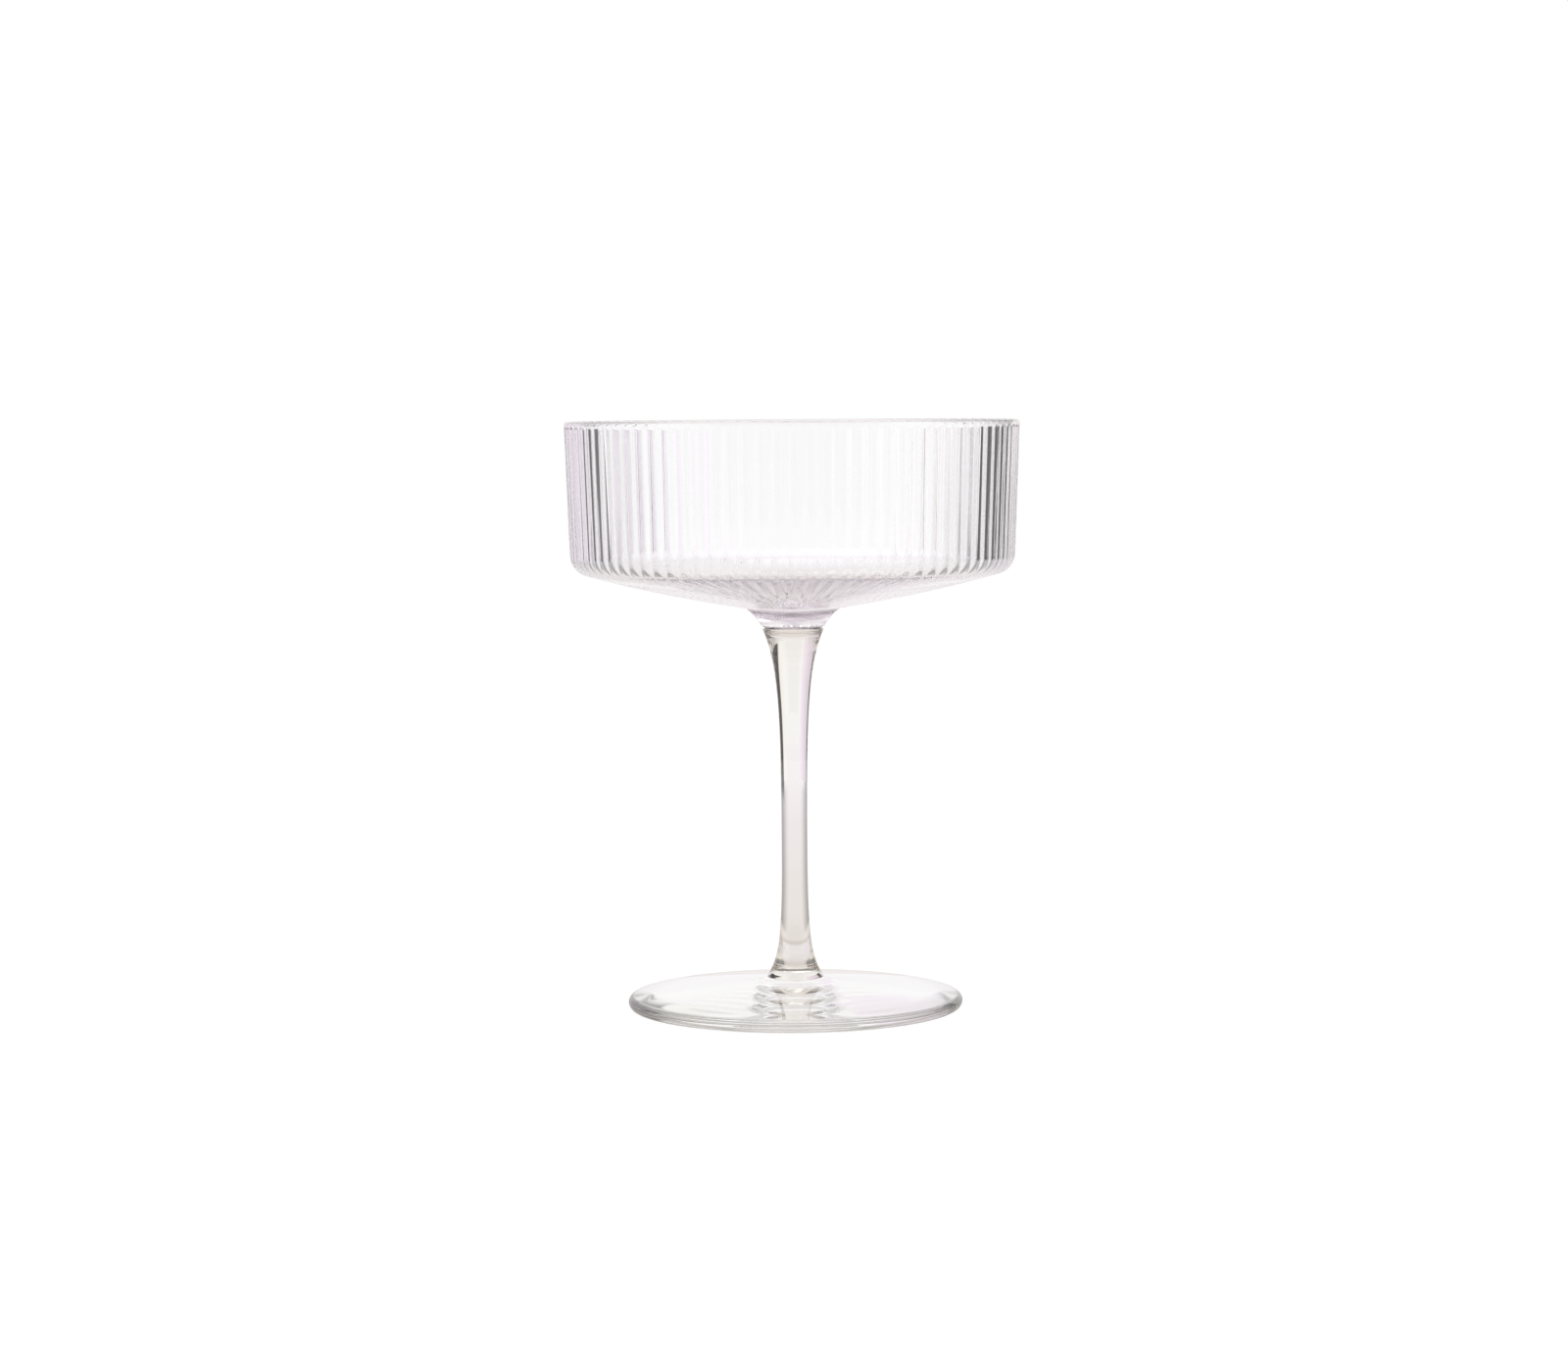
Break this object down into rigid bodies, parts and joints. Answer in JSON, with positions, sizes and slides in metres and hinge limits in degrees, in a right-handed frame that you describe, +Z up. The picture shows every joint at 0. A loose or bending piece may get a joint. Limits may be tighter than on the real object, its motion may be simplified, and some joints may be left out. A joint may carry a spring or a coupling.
{
  "type": "coupe glass",
  "caption": "Stemmed coupe glass with a wide, shallow reeded bowl, a slim drawn stem and a flat disc foot, for sparkling wine or cocktails.",
  "frame": {"origin": "middle of the foot's underside, on the surface that the glass stands on", "axes": "+Z up along the glass's axis; the glass is the same all round it, so X and Y only set where the ribs stand: the first valley is 2.5 degrees from +X"},
  "size_m": [0.104, 0.104, 0.135],
  "materials": {
    "bowl_glass": "clear blown glass with a faint lavender lustre, reeded outside and smooth inside",
    "stem_glass": "clear solid drawn glass, fire polished",
    "foot_glass": "clear pressed glass, fire polished, faintly grey-green at the edge"
  },
  "bodies": {
    "root": {"bowl": "bowl_glass", "stem": "stem_glass", "foot": "foot_glass"}
  },
  "joints": []
}
